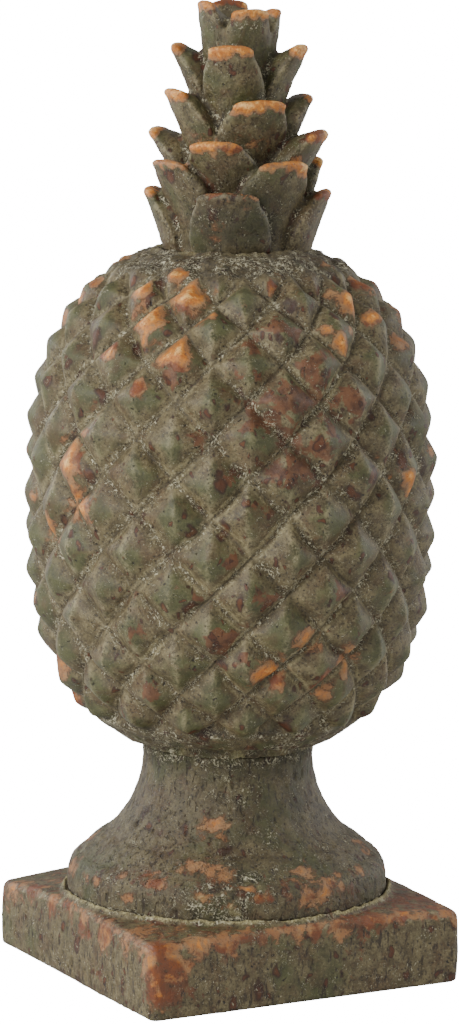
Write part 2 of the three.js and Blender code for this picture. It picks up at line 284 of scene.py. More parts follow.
def tinted(tree, share, below, above):
    """The colour below where the share is 0 and the colour above where it is 1."""
    return node(tree, "ShaderNodeMix", {0: share, 6: below, 7: above}, data_type="RGBA").outputs[2]


def mottle(tree, place, size, detail=4.0, roughness=0.6, distortion=0.0):
    """Noise whose lumps are about size across, in metres."""
    inputs = {"Vector": place, "Scale": 1 / size}
    inputs.update({"Detail": detail, "Roughness": roughness, "Distortion": distortion})
    return node(tree, "ShaderNodeTexNoise", inputs).outputs["Fac"]


def specks(tree, place, size):
    """Cells about size across: the distance to each cell's middle, as a share of the size, and two chance
    numbers of the cell."""
    cells = node(tree, "ShaderNodeTexVoronoi", {"Vector": place, "Scale": 1 / size, "Randomness": 1.0})
    apart = node(tree, "ShaderNodeSeparateColor", {"Color": cells.outputs["Color"]})
    return cells.outputs["Distance"], apart.outputs[0], apart.outputs[1]


def stretched(tree, place, stretch):
    """The place with each axis multiplied, so that a pattern on it is drawn out or squeezed along that axis."""
    return node(tree, "ShaderNodeVectorMath", {0: place, 1: stretch}, operation="MULTIPLY").outputs[0]


def linear(red, green, blue):
    """A colour as it looks on a screen, 0 to 255, turned into the linear light that shaders use."""
    share = np.array([red, green, blue]) / 255
    light = np.where(share <= 0.04045, share / 12.92, ((share + 0.055) / 1.055) ** 2.4)
    return (*light.tolist(), 1.0)


# What the weather has done at each point of a piece, from about 0 to 1; the shade is painted shade, and the rub
# and highlight is partly a painted highlight.
SURFACE_VALUES = ("Wear", "Stain", "Grit", "Moss", "Rub", "Shade", "Lime")


def weathered_clay_group():
    """The finish that all four pieces share: grey-tan patina over orange clay, greener and smoother where there
    is moss. Wear lays the clay bare in ragged patches, cream at its most worn, which is partly a painted
    highlight; stain adds red-brown ovals, grit adds pale flecks and dark dirt that is partly painted shade in
    the hollows, rub and highlight pale the ridges as rubbed patina and painted highlight, shade is painted
    shade, mostly in the hollows, lime is pale mortar and streaks are short upright strokes."""
    group = bpy.data.node_groups.new("weathered clay", "ShaderNodeTree")
    for name in ("Place", *SURFACE_VALUES, "Streaks"):
        kind = "NodeSocketVector" if name == "Place" else "NodeSocketFloat"
        group.interface.new_socket(name, in_out="INPUT", socket_type=kind)
    for name in ("Color", "Roughness", "Height"):
        kind = "NodeSocketColor" if name == "Color" else "NodeSocketFloat"
        group.interface.new_socket(name, in_out="OUTPUT", socket_type=kind)
    given = group.nodes.new("NodeGroupInput").outputs
    place = given["Place"]

    def times(first, second):
        return figure(group, "MULTIPLY", first, second)

    def plus(first, second):
        return figure(group, "ADD", first, second)

    def minus(first, second):
        return figure(group, "SUBTRACT", first, second)

    def noise(size, *character):
        return mottle(group, place, size, *character)

    def mask(value, start, end):
        return band(group, value, start, end)

    def shaded(share, below, above):
        """The screen colour below where the share is 0 and the screen colour above where it is 1."""
        return tinted(group, share, linear(*below), linear(*above))

    def over(under, share, color):
        """A screen colour laid over what is under it, as thickly as the share says."""
        return tinted(group, share, under, linear(*color))

    # patina: grey tan to moss olive in clouds, mottled, and speckled with lighter and darker grains
    clouds = noise(0.022, 5)
    blotches = noise(0.006, 5, 0.65)
    grains = noise(0.0013, 3, 0.7)
    mossy = mask(plus(given["Moss"], times(minus(clouds, 0.5), 1.6)), 0.30, 0.70)
    tan = shaded(mask(blotches, 0.32, 0.68), (76, 65, 41), (119, 107, 74))
    olive = shaded(mask(blotches, 0.3, 0.7), (66, 66, 37), (86, 87, 50))
    patina = tinted(group, mossy, tan, olive)
    brownish = mask(noise(0.014, 4, 0.6, 0.4), 0.50, 0.66)
    patina = over(patina, times(brownish, 0.50), (86, 60, 36))
    gritty = minus(1.0, times(mossy, 0.6))
    patina = over(patina, times(times(mask(grains, 0.56, 0.68), 0.42), gritty), (160, 150, 118))
    patina = over(patina, times(times(mask(grains, 0.47, 0.35), 0.84), gritty), (38, 31, 21))
    # rub and highlight: pale tan on ridges and edges, both rubbed patina and a painted highlight
    rubbed = times(given["Rub"], mask(plus(blotches, grains), 0.85, 1.15))
    patina = over(patina, times(rubbed, 0.75), (168, 156, 120))

    # stains: a red-brown haze with firm borders, and ovals with a darker rim
    haze = plus(given["Stain"], times(minus(noise(0.008, 5, 0.6, 0.5), 0.5), 2.0))
    reddish = shaded(mask(blotches, 0.35, 0.6), (72, 36, 17), (110, 64, 37))
    patina = tinted(group, times(mask(haze, 0.64, 0.78), 0.80), patina, reddish)
    bent = node(group, "ShaderNodeTexNoise", {"Vector": place, "Scale": 120.0, "Detail": 2.0}).outputs["Color"]
    bend = {0: bent, 1: (0.010, 0.010, 0.010), 2: place}
    bent = node(group, "ShaderNodeVectorMath", bend, operation="MULTIPLY_ADD")
    oval = stretched(group, bent.outputs[0], (1.0, 1.0, 0.62))
    for size, rarity in ((0.0052, 0.76), (0.0115, 0.84)):
        distance, chance, shade = specks(group, oval, size)
        reach = plus(0.12, times(shade, 0.22))
        spot = figure(group, "DIVIDE", distance, reach)
        picked = mask(plus(chance, times(given["Stain"], 0.6)), rarity, rarity + 0.04)
        brown = shaded(shade, (100, 54, 19), (76, 34, 15))
        brown = over(brown, mask(spot, 0.45, 0.95), (48, 24, 11))
        patina = tinted(group, times(times(mask(spot, 1.3, 0.85), picked), 0.88), patina, brown)

    # streaks: short upright darker strokes and pits, as on the sides of the slab
    upright = stretched(group, place, (1.0, 1.0, 0.28))
    strokes = times(mask(mottle(group, upright, 0.0021, 3, 0.6), 0.57, 0.66), given["Streaks"])
    patina = over(patina, times(strokes, 0.85), (46, 34, 23))

    # dirt and painted shade in the hollows, and over it pale flecks and thin wandering threads of lime
    dirt = times(given["Grit"], mask(noise(0.0030, 4, 0.65), 0.40, 0.60))
    patina = over(patina, times(dirt, 0.7), (42, 36, 25))
    # painted shade: the shade value darkens the hollows and the places where shade falls
    patina = over(patina, times(given["Shade"], 0.8), (24, 20, 14))
    fine = noise(0.0012, 2, 0.6)
    speck = times(mask(plus(fine, times(given["Grit"], 0.10)), 0.71, 0.77), 0.6)
    curl = mask(plus(noise(0.0032, 3, 0.62, 2.2), times(given["Grit"], 0.15)), 0.70, 0.75)
    winding = figure(group, "ABSOLUTE", minus(noise(0.0060, 3, 0.6, 1.5), 0.5))
    thread = times(mask(winding, 0.020, 0.006), mask(plus(fine, times(given["Grit"], 0.2)), 0.54, 0.64))
    pale = figure(group, "MAXIMUM", figure(group, "MAXIMUM", speck, curl), thread)
    clumps = mask(plus(noise(0.0085, 3, 0.6), times(given["Grit"], 0.06)), 0.47, 0.61)
    pale = times(pale, plus(times(clumps, 0.95), 0.05))
    patina = over(patina, times(pale, 0.85), (204, 197, 166))

    # pores: small dark holes of uneven outline
    pore = mask(noise(0.0026, 2, 0.5), 0.31, 0.25)
    patina = over(patina, times(pore, 0.85), (36, 28, 20))

    # wear: tan to orange clay in ragged patches with a red-brown rim, veined and paler where it is rubbed
    # hardest,
    #     the pale cream there partly worn clay and partly a painted highlight, and charred where it is stained
    ragged = plus(times(noise(0.0075, 6, 0.62, 0.6), 0.8), times(grains, 0.2))
    bare = plus(given["Wear"], times(minus(ragged, 0.5), 1.9))
    rim = mask(bare, 0.36, 0.50)
    core = mask(bare, 0.48, 0.60)
    clay = shaded(mask(bare, 0.64, 1.06), (152, 116, 78), (210, 131, 40))
    clay = over(clay, times(mask(blotches, 0.62, 0.40), 0.42), (136, 78, 36))
    # painted highlight and pale worn clay: cream where the wear is greatest, as on the tips that stand out into
    # the light
    clay = over(clay, times(mask(bare, 0.90, 1.35), mask(blotches, 0.4, 0.6)), (234, 186, 112))
    veins = times(mask(noise(0.0024, 4, 0.7), 0.52, 0.60), mask(bare, 0.70, 1.05))
    clay = over(clay, times(veins, 0.42), (166, 78, 24))
    stained = times(mask(given["Stain"], 0.50, 0.70), mask(blotches, 0.36, 0.48))
    charred = figure(group, "MINIMUM", plus(mask(clouds, 0.46, 0.38), stained), 1.0)
    clay = over(clay, times(charred, 0.8), (98, 42, 18))
    clay = over(clay, times(mask(grains, 0.45, 0.34), 0.5), (84, 42, 22))
    color = over(patina, times(rim, 0.55), (104, 66, 40))
    color = tinted(group, core, color, clay)

    # mortar: pale and gritty, over all of it; then painted shade over everything where it lies in a hollow
    mortar = shaded(mask(fine, 0.35, 0.65), (112, 100, 62), (184, 174, 126))
    mortar = over(mortar, times(pore, 0.8), (52, 45, 30))
    color = tinted(group, given["Lime"], color, mortar)
    # more painted shade from the shade value, over the mortar too
    color = over(color, times(given["Shade"], 0.4), (40, 28, 18))

    height = plus(times(blotches, 0.5), times(grains, 0.35))
    height = plus(height, times(pale, 0.30))
    height = minus(height, times(pore, 0.6))
    height = minus(height, times(strokes, 0.35))
    height = minus(height, times(core, 0.25))
    roughness = plus(band(group, grains, 0.3, 0.7, 0.47, 0.61), times(given["Grit"], 0.25))
    out = group.nodes.new("NodeGroupOutput").inputs
    group.links.new(color, out["Color"])
    group.links.new(roughness, out["Roughness"])
    group.links.new(height, out["Height"])
    return group


weathered_clay = weathered_clay_group()


def clay_material(name, relief, streaks=0.0):
    """A material of weathered clay that reads the piece's own surface values. Relief is the depth of the finest
    roughness in metres, and streaks is how strong the upright strokes are."""
    material = bpy.data.materials.new(name)
    material.use_nodes = True
    tree = material.node_tree
    tree.nodes.clear()
    place = node(tree, "ShaderNodeTexCoord").outputs["Object"]
    finish = node(tree, "ShaderNodeGroup", node_tree=weathered_clay)
    tree.links.new(place, finish.inputs["Place"])
    for socket in SURFACE_VALUES:
        value = node(tree, "ShaderNodeAttribute", attribute_name=socket.lower())
        tree.links.new(value.outputs["Fac"], finish.inputs[socket])
    finish.inputs["Streaks"].default_value = streaks
    bump = node(tree, "ShaderNodeBump",
                {"Height": finish.outputs["Height"], "Distance": relief, "Strength": 1.0})
    shader = node(tree, "ShaderNodeBsdfPrincipled", {
        "Base Color": finish.outputs["Color"], "Roughness": finish.outputs["Roughness"],
        "Normal": bump.outputs["Normal"], "Specular IOR Level": 0.5,
    })
    output = node(tree, "ShaderNodeOutputMaterial")
    tree.links.new(shader.outputs["BSDF"], output.inputs["Surface"])
    return material


slab, bead, edge = worn_slab(slab_grid())
drips = rough(slab, np.array([0.008, 0.008, 0.030]), 14)
from_axis = np.hypot(slab[..., 0], slab[..., 1])
on_left = step(slab[..., 0] - slab[..., 1], 0.07, -0.07)
top_edge = step(slab[..., 2], 0.027 + 0.009 * drips, 0.037) * (1 - 0.30 * on_left)
rubbed_off = near(slab, [(x, y, z, PLINTH_RUB_SPREAD * reach) for x, y, z, reach in PLINTH_WEAR])
rubbed_off *= 0.80 + 0.14 * near(slab, [PLINTH_FRONT_CORNER])
plinth_wear = np.maximum(rubbed_off, 0.46 * top_edge + 0.15 * edge + 0.1 * edge * rough(slab, 0.02, 15))
plinth_grit = bead * 1.4 + 0.5 * step(slab[..., 2], 0.037, 0.040) * edge + 0.12 + 0.2 * rough(slab, 0.02, 16)
plinth_stain = 0.25 + 0.33 * top_edge + 0.3 * rough(slab, 0.03, 17) + 1.35 * near(slab, [PLINTH_CHARRED])
plinth = closed_skin("worn_plinth", slab, wear=plinth_wear * (1 - bead), grit=np.clip(plinth_grit, 0, 1),
                     stain=np.clip(plinth_stain, 0, 1), moss=0.33 + 0.22 * rough(slab, 0.05, 18),
                     # rub and highlight: the rounded edges paled, as rubbed patina and as a painted highlight
                     rub=0.8 * edge,
                     # painted shade: the slab darkened under the foot, inside the seat
                     shade=0.9 * (1 - step(from_axis, SEAT_RADIUS - 0.0010, SEAT_RADIUS)),
                     lime=0.85 * step(bead * (0.75 + 0.6 * rough(slab, 0.004, 19)), 0.25, 0.7))
plinth.data.materials.append(clay_material("weathered plinth", 0.0007, streaks=1.0))
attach(plinth, "root")
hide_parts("plinth")


# Foot: turned clay, a plain neck that flares out over a rounded band. Its skin is finely pored, and the patina
# is rubbed off the band in flat ovals. It stands on the slab, bedded in the mortar.

FOOT_BOTTOM = 0.0413
FOOT_HEIGHT = 0.0763
FOOT_ROWS = 118
FOOT_COLUMNS = 480
CURVE_STEPS = 60
OVAL_FLATNESS = 1.6
FOOT_RUB_SPREAD = 1.8

# The foot's half outline as runs of control points, radius and height in millimetres.
FOOT_OUTLINE = [
    [(81.5, 0), (83.5, 0), (83.5, 2)],
    [(83.5, 2), (83.5, 9.75), (83.5, 15.6), (77, 19.5)],
    [(77, 19.5), (75.8, 20.1)],
    [(75.8, 20.1), (69.8, 26.34), (62.5, 30.5)],
    [(62.5, 30.5), (52.6, 39.4), (44.5, 54.8), (44.5, 71)],
    [(44.5, 71), (44.5, 76.3)],
]

# Rubbed places on the foot: angle in degrees, height above its underside and reach in millimetres.
FOOT_WEAR = [
    (-126, 43, 11), (-122, 38, 6), (-124, 25, 9), (-119, 23, 9), (-133, 26, 8), (-146, 18.5, 8), (-82, 12, 14),
    (-90, 10, 9), (-127, 13, 7), (-107, 12, 6), (-86, 22, 8), (-38, 24, 9), (-156, 9, 6), (-172, 13, 6),
    (-77, 17, 6), (-110, 17, 4), (-58, 18, 6), (-20, 12, 11), (15, 15, 13), (40, 22, 8), (70, 12, 12),
    (95, 40, 9), (120, 16, 13), (150, 24, 8), (165, 12, 10), (58, 30, 7), (-5, 28, 8),
]

# Where lime and grit have gathered in clusters of small pebbles, given in the same way.
FOOT_DEPOSITS = [(-128, 68, 16), (-110, 66, 15), (-121, 8, 22), (-112, 16, 16)]


def curve(controls, steps):
    """Points of a Bezier curve: the controls are drawn together in pairs, by the share of the way along, until
    one is left."""
    share = np.linspace(0, 1, steps)[:, None]
    points = [np.array(c, dtype=float)[None] + 0 * share for c in controls]
    while len(points) > 1:
        points = [(1 - share) * a + share * b for a, b in zip(points, points[1:])]
    return points[0]


def evenly(profile, count):
    """The profile resampled at count points that are even lengths apart."""
    steps = np.linalg.norm(np.diff(profile, axis=0), axis=1)
    length = np.concatenate([[0], np.cumsum(steps)])
    wanted = np.linspace(0, length[-1], count)
    return np.stack([np.interp(wanted, length, profile[:, k]) for k in range(profile.shape[1])], axis=-1)


def turned(profile, columns):
    """The profile turned about the axis: each radius and height at every angle."""
    angle = np.linspace(0, 2 * np.pi, columns, endpoint=False)
    radius, height = profile[:, :1], profile[:, 1:]
    return np.stack([radius * np.cos(angle), radius * np.sin(angle), height + 0 * angle], axis=-1)


def on_profile(profile, spots):
    """Spots given by angle, height and reach in millimetres, set on the turned profile as x, y, z and reach."""
    placed = []
    for angle, height, reach in spots:
        radius = np.interp(height / 1000, profile[:, 1] - profile[0, 1], profile[:, 0])
        x, y = radius * np.cos(np.radians(angle)), radius * np.sin(np.radians(angle))
        placed.append((x, y, profile[0, 1] + height / 1000, reach / 1000))
    return placed


foot_profile = np.concatenate([curve(run, CURVE_STEPS) for run in FOOT_OUTLINE]) / 1000 + (0, FOOT_BOTTOM)
foot_profile = evenly(foot_profile, FOOT_ROWS)
turned_foot = turned(foot_profile, FOOT_COLUMNS)
foot_normal = outward(turned_foot)
height = turned_foot[..., 2] - FOOT_BOTTOM
pores = step(rough(turned_foot, 0.0026, 25), 0.45, 0.8) + step(rough(turned_foot, 0.0050, 26), 0.6, 0.9)
crumbled = step(height, 0.070, 0.074)
foot_move = 0.30 * rough(turned_foot, 0.030, 21) + 0.24 * rough(turned_foot, 0.010, 22)
foot_move += 0.28 * rough(turned_foot, 0.0045, 23) + 0.16 * rough(turned_foot, 0.0022, 24)
deposits = near(turned_foot, on_profile(foot_profile, FOOT_DEPOSITS))
pebbles = step(rough(turned_foot, 0.0042, 33), 0.35, 0.65) * step(deposits, 0.1, 0.6)
foot_move += -0.35 - 0.50 * pores + crumbled * 0.3 * rough(turned_foot, 0.004, 27) + 0.6 * pebbles
inside_ends = step(height, 0.0004, 0.002) * (1 - 0.6 * crumbled)
foot_skin = turned_foot + (foot_move * MM * inside_ends)[..., None] * foot_normal
foot_skin[..., 2] = np.clip(foot_skin[..., 2], FOOT_BOTTOM, FOOT_BOTTOM + FOOT_HEIGHT)
flat_ovals = foot_skin * (1, 1, OVAL_FLATNESS)
foot_spots = [(x, y, OVAL_FLATNESS * z, FOOT_RUB_SPREAD * reach)
              for x, y, z, reach in on_profile(foot_profile, FOOT_WEAR)]
band_rub = step(height, 0.002, 0.010) * (1 - step(height, 0.018, 0.026))
scattered = band_rub * (0.22 + 0.35 * rough(foot_skin * (1, 1, 2), 0.012, 28))
foot_wear = np.maximum(0.77 * near(flat_ovals, foot_spots), scattered)
washed = 1 - 0.7 * step(height, 0.050, 0.060)
foot_grit = 0.9 * crumbled + 0.9 * (1 - step(height, 0.0, 0.003)) + 0.3 + 0.3 * rough(foot_skin, 0.02, 29)
foot_grit += 1.3 * deposits * washed
foot_lime = 0.12 * step(deposits * (1 + 1.2 * rough(foot_skin, 0.003, 32)), 0.75, 1.3)
foot = closed_skin("turned_foot", foot_skin, wear=foot_wear, grit=np.clip(foot_grit, 0, 1),
                   stain=np.clip(0.35 * band_rub + 0.15 + 0.3 * rough(foot_skin, 0.02, 30), 0, 1),
                   moss=0.38 + 0.2 * rough(foot_skin, 0.04, 31), rub=0 * height,
                   # shade: a little darker all over, painted shade where the foot meets the mortar, and painted
                   # shade on the flare and neck under the fruit
                   shade=0.15 + 0.3 * (1 - step(height, 0.0006, 0.0022)) + 0.12 * step(height, 0.030, 0.050),
                   lime=washed * np.maximum(foot_lime, 0.5 * pebbles))
foot.data.materials.append(clay_material("weathered foot", 0.0013, streaks=0.9))
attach(foot, "root")
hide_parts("foot")


# Fruit: a hollow egg of pressed clay, cut with half-offset rows of pyramid scales. Grit has settled in its
# grooves, and the tips of many scales are rubbed down to the orange clay. It sits on the neck of the foot.

FRUIT_BOTTOM = 0.1176
FRUIT_HEIGHT = 0.2556
FRUIT_RADIUS = 0.1065
FRUIT_BELLY_HEIGHT = 0.129
FRUIT_UPPER_FULLNESS = 2.67
FRUIT_LOWER_FULLNESS = 2.7
FRUIT_TOP_RADIUS = 0.0455
FRUIT_FOOT_RADIUS = 0.046
FRUIT_SHOULDER_WIDTH = 0.013
SCALES_ROUND = 16
SCALE_ROWS = 15
SCALE_RELIEF = 0.0076
SCALE_FINENESS = 13
TIP_SHIFT = 0.42
UPRIGHT_RIDGE = 0.035
LEVEL_RIDGE = 0.10
LEVEL_RIDGE_SPAN = 0.905
GROOVE_ROUNDING = 0.04
COLLAR_ROWS = 1.6
COLLAR_RELIEF = 0.0026
COLLAR_RADIUS = 0.0446
LIP_DROP = 0.0034
LIP_TURN = np.radians(-118)
PROFILE_STEPS = 4000
SHOULDER_STEPS = 12
TOP_STEPS = 12
TOP_LEVEL = FRUIT_HEIGHT - 0.0003
TOP_INSET = 0.27
CROWN_MORTAR_RADIUS = 0.0388
CROWN_MORTAR_WIDTH = 0.0030
CROWN_MORTAR_REACH = 0.0035

# The front of the fruit, as x, y, z and reach: all its rubbed tips are in the list, and chance adds none there.
FRUIT_FRONT = (-0.05, -0.09, 0.245, 0.17)

# Places on the fruit where the patina is rubbed through, and where it is stained: angle in degrees, height
# above the fruit's underside and reach in millimetres.
FRUIT_RUB_SPREAD = 1.65
FRUIT_STAIN_SPREAD = 2.0
FRUIT_WEAR = [
    (-159, 241, 7), (-145, 249, 6), (-136, 241, 12), (-149, 230, 11), (-149, 217, 5), (-126, 233, 5),
    (-131, 231, 6), (-137, 214, 11), (-138, 221, 6), (-143, 215, 6), (-146, 196, 6), (-166, 172, 6),
    (-165, 161, 6), (-170, 157, 11), (158, 232, 6), (161, 242, 5), (150, 220, 6), (-160, 212, 6), (-68, 234, 8),
    (-61, 228, 6), (-48, 244, 6), (-74, 242, 6), (-100, 244, 6), (-85, 223, 5), (-81, 215, 8), (-48, 216, 7),
    (-72, 222, 5), (-66, 192, 4), (-59, 145, 6), (171, 45, 8), (159, 26, 8), (-166, 135, 12), (180, 116, 9),
    (165, 132, 6), (-56, 139, 6), (-37, 156, 5), (-94, 68, 9), (-79, 54, 9), (-85, 47, 7), (-105, 52, 10),
    (-87, 39, 8), (152, 76, 5), (-109, 138, 3), (-8, 236, 9), (40, 210, 8), (96, 240, 9), (75, 150, 7),
]
FRUIT_STAINS = [
    (-102, 225, 8), (-110, 222, 9), (-108, 213, 5), (-118, 199, 6), (-109, 203, 5), (-93, 207, 7),
    (-87, 213, 6), (-99, 197, 8), (-92, 195, 9), (-98, 207, 7), (-84, 191, 10), (-86, 199, 7), (-109, 191, 8),
    (-112, 185, 11), (-106, 181, 9), (-98, 185, 7), (-101, 173, 11), (-86, 178, 9), (-97, 164, 11),
    (-91, 164, 7), (-106, 157, 9), (-102, 154, 6), (-92, 150, 7), (-118, 153, 6), (-76, 150, 6), (-79, 185, 6),
    (-88, 234, 6), (-97, 221, 7), (-125, 172, 8), (-119, 68, 12), (-117, 110, 6), (-142, 42, 7), (-85, 94, 7),
    (-109, 138, 7), (-130, 175, 6), (-137, 202, 8), (-107, 90, 9), (-125, 91, 7), (-144, 72, 7), (-103, 190, 8),
    (-92, 185, 7), (-80, 205, 6),
]


def fruit_profile(count):
    """Half outline over the scale tips, from the underside to the top, at count heights: an oval whose radius
    is R (1 - |h / H|^n)^(1/n), with its own fullness n and half height H above and below the belly."""
    height = np.linspace(0, FRUIT_HEIGHT, count)
    above = height > FRUIT_BELLY_HEIGHT
    fullness = np.where(above, FRUIT_UPPER_FULLNESS, FRUIT_LOWER_FULLNESS)
    end_radius = np.where(above, FRUIT_TOP_RADIUS, FRUIT_FOOT_RADIUS)
    end_reach = np.where(above, FRUIT_HEIGHT - FRUIT_BELLY_HEIGHT, FRUIT_BELLY_HEIGHT)
    half_height = end_reach / (1 - (end_radius / FRUIT_RADIUS) ** fullness) ** (1 / fullness)
    share = np.abs(height - FRUIT_BELLY_HEIGHT) / half_height
    return np.stack([FRUIT_RADIUS * (1 - share ** fullness) ** (1 / fullness), height], axis=-1)


def from_even(value):
    """Signed distance to the nearest even number."""
    return value - 2 * np.round(value / 2)


def moved_tip(value, shift):
    """The way across a scale, -1 to 1, remade so that its middle lies at shift."""
    return (value - shift) / np.where(value > shift, 1 - shift, 1 + shift)


profile = fruit_profile(PROFILE_STEPS)
lengths = np.concatenate([[0], np.cumsum(np.linalg.norm(np.diff(profile, axis=0), axis=1))])
pitch = (lengths[-1] - FRUIT_SHOULDER_WIDTH) / SCALE_ROWS
scale_rows = np.arange(SCALE_ROWS * SCALE_FINENESS + 1) / SCALE_FINENESS
shoulder_rows = SCALE_ROWS + np.linspace(0, 1, SHOULDER_STEPS)[1:] * FRUIT_SHOULDER_WIDTH / pitch
row, column = np.meshgrid(np.concatenate([scale_rows, shoulder_rows]),
                          np.arange(2 * SCALES_ROUND * SCALE_FINENESS) / SCALE_FINENESS, indexing="ij")

# which scale each point belongs to, and where on it: 0 at the tip, 1 in the groove
rising, falling = row + column, row - column
across, along = from_even(rising), from_even(falling)
tip_row = (rising - across + falling - along) / 2
tip_column = np.mod((rising - across - falling + along) / 2, 2 * SCALES_ROUND)
scale_id = np.round(np.stack([tip_row, tip_column, 0 * row], axis=-1))
shift_across, shift_along, tallness, rubbing, mossiness = (hashed(scale_id, seed) for seed in range(41, 46))
u = moved_tip(across, TIP_SHIFT * (shift_across - 0.5))
v = moved_tip(along, TIP_SHIFT * (shift_along - 0.5))

# a scale is a blunt pyramid with a sharp upright ridge, a soft level one and flat facets down to the grooves
aside, upwards = (u - v) / 2, (u + v) / 2
from_tip = np.abs(aside) + np.abs(upwards)
soft_aside = np.sqrt(aside ** 2 + UPRIGHT_RIDGE ** 2) - UPRIGHT_RIDGE
soft_upwards = (np.sqrt(upwards ** 2 + LEVEL_RIDGE ** 2) - LEVEL_RIDGE) / LEVEL_RIDGE_SPAN
softness = step(1 - from_tip, 0, 0.4)
share = 1 - (softness * (soft_aside + soft_upwards) + (1 - softness) * from_tip)
share = np.hypot(share, GROOVE_ROUNDING) - GROOVE_ROUNDING * (1 - share)
scale_height = (share + 0.04 * np.sin(np.pi * share)) * (0.95 + 0.07 * tallness)
in_scales = step(row, COLLAR_ROWS - 0.05, COLLAR_ROWS + 0.15)
edge_row = step(SCALE_ROWS - row, 0, 0.5) * in_scales
low_edge = step(-along, 0.84, 0.93) * (1 - step(-along, 0.93, 1.0))
in_groove = np.maximum(step(np.abs(along), 0.84, 1.0), 0.8 * step(np.abs(across), 0.88, 1.0))
on_shoulder = step(row, SCALE_ROWS - 0.45, SCALE_ROWS)

# the place of each point on the smooth egg, wandering a little so that no groove is ruled straight
turn = column * np.pi / SCALES_ROUND
unit = np.stack([np.cos(turn), np.sin(turn), row / 5], axis=-1)
wander = np.clip(np.minimum(row, SCALE_ROWS - row), 0, 1)
small_bends = 0.045 * rough(unit, 0.10, 72)
along_length = (row + wander * (0.095 * rough(unit, 0.28, 51) + small_bends)) * pitch
angle = (column + 0.095 * rough(unit, 0.28, 52) + 0.045 * rough(unit, 0.10, 73)) * np.pi / SCALES_ROUND
radius = np.interp(along_length, lengths, profile[:, 0])
height = np.interp(along_length, lengths, profile[:, 1])
slope_out = np.gradient(profile[:, 1], lengths)
slope_up = -np.gradient(profile[:, 0], lengths)
out = np.interp(along_length, lengths, slope_out)
up = np.interp(along_length, lengths, slope_up)
egg = np.stack([radius * np.cos(angle), radius * np.sin(angle), height], axis=-1)
facing = np.stack([out * np.cos(angle), out * np.sin(angle), up], axis=-1)

rubble = rough(egg, 0.0042, 53) * 0.5 + rough(egg, 0.0026, 54) * 0.4
relief = SCALE_RELIEF * np.clip(1.4 * (SCALE_ROWS - row), 0.35, 1) * (1 - scale_height)
relief *= np.clip(6 * (SCALE_ROWS + 0.4 - row), 0, 1) * in_scales
relief += COLLAR_RELIEF * np.clip(row, 0, 1) * (1 - in_scales)
waves = 0.22 * rough(egg, 0.020, 55) + 0.22 * rough(egg, 0.009, 56) + 0.20 * rough(egg, 0.004, 57) - 0.05
cuts = 0.45 * low_edge - 0.45 * step(np.abs(along), 0.90, 1.0) - 0.25 * step(np.abs(across), 0.92, 1.0)
waves += edge_row * (cuts * (0.6 + 0.8 * rough(egg, 0.012, 62)) + 0.9 * in_groove * rubble)
waves += on_shoulder * (1.6 * rubble + 1.3 * rough(egg, 0.010, 76) - 0.6)

# the plain collar under the lowest scales, a crack above it, and the lip where the neck goes in under it
crack = np.exp(-(((row - COLLAR_ROWS - 0.06 * rough(egg, 0.010, 67)) / 0.07) ** 2))
crack *= step(rough(egg, 0.014, 68), -0.6, 0.2)
waves += -1.1 * crack + (1 - in_scales) * 0.6 * rubble
fruit_points = egg + ((waves * MM - relief)[..., None]) * facing
lip_height = 0.0008 + LIP_DROP * np.clip(np.cos(angle - LIP_TURN), 0, 1) ** 1.5
lip_height += 0.0010 * rough(egg, 0.012, 69)
under_lip = 1 - step(height, lip_height, lip_height + 0.0015)
neck_radius = (COLLAR_RADIUS + 0.0004 * rubble) / np.hypot(fruit_points[..., 0], fruit_points[..., 1])
fruit_points[..., :2] *= (1 + under_lip * (np.minimum(neck_radius, 1) - 1))[..., None]
reach = np.hypot(fruit_points[..., 0], fruit_points[..., 1])
fruit_points[..., :2] *= (np.minimum(reach, FRUIT_RADIUS - 0.0001) / reach)[..., None]

# the flat top inside the shoulder, and on it a bead of gritty mortar round the foot of the crown
top_share = np.linspace(0, 1, TOP_STEPS + 1)[1:, None]
rim = fruit_points[-1]
flat_top = np.concatenate([rim[None, :, :2] * (1 - TOP_INSET * top_share[..., None]),
                           np.broadcast_to(rim[None, :, 2:], (TOP_STEPS, len(rim), 1))], axis=-1)
flat_top[..., 2] = TOP_LEVEL + (rim[:, 2] - TOP_LEVEL)[None] * (1 - top_share) ** 2
fruit_points = np.concatenate([fruit_points, flat_top])


def carried_on(values):
    """The values of the last row repeated over the flat top."""
    return np.concatenate([values, np.repeat(values[-1:], TOP_STEPS, axis=0)])


from_axis = np.hypot(fruit_points[..., 0], fruit_points[..., 1])
on_top = step(fruit_points[..., 2], FRUIT_HEIGHT - 0.004, FRUIT_HEIGHT - 0.001)
bead = CROWN_MORTAR_RADIUS + 0.0012 * rough(fruit_points, 0.010, 63)
bead = np.exp(-(((from_axis - bead) / CROWN_MORTAR_WIDTH) ** 2)) * on_top
lumps = 0.5 * rough(fruit_points, 0.006, 64) + 0.45 * rough(fruit_points, 0.0028, 65)
fruit_points[..., 2] += (bead * (2.2 + 1.0 * lumps) + on_top * (0.5 * lumps - 0.2)) * MM
fruit_points[..., 2] = np.clip(fruit_points[..., 2], 0, FRUIT_HEIGHT + CROWN_MORTAR_REACH)
fruit_points = fruit_points + (0, 0, FRUIT_BOTTOM)

across, along, aside, upwards = map(carried_on, (across, along, aside, upwards))
from_tip, in_groove, low_edge, on_shoulder = map(carried_on, (from_tip, in_groove, low_edge, on_shoulder))
edge_row, in_scales, crack, under_lip = map(carried_on, (edge_row, in_scales, crack, under_lip))
rubbing, mossiness = map(carried_on, (rubbing, mossiness))
fruit_outline = profile + (0, FRUIT_BOTTOM)

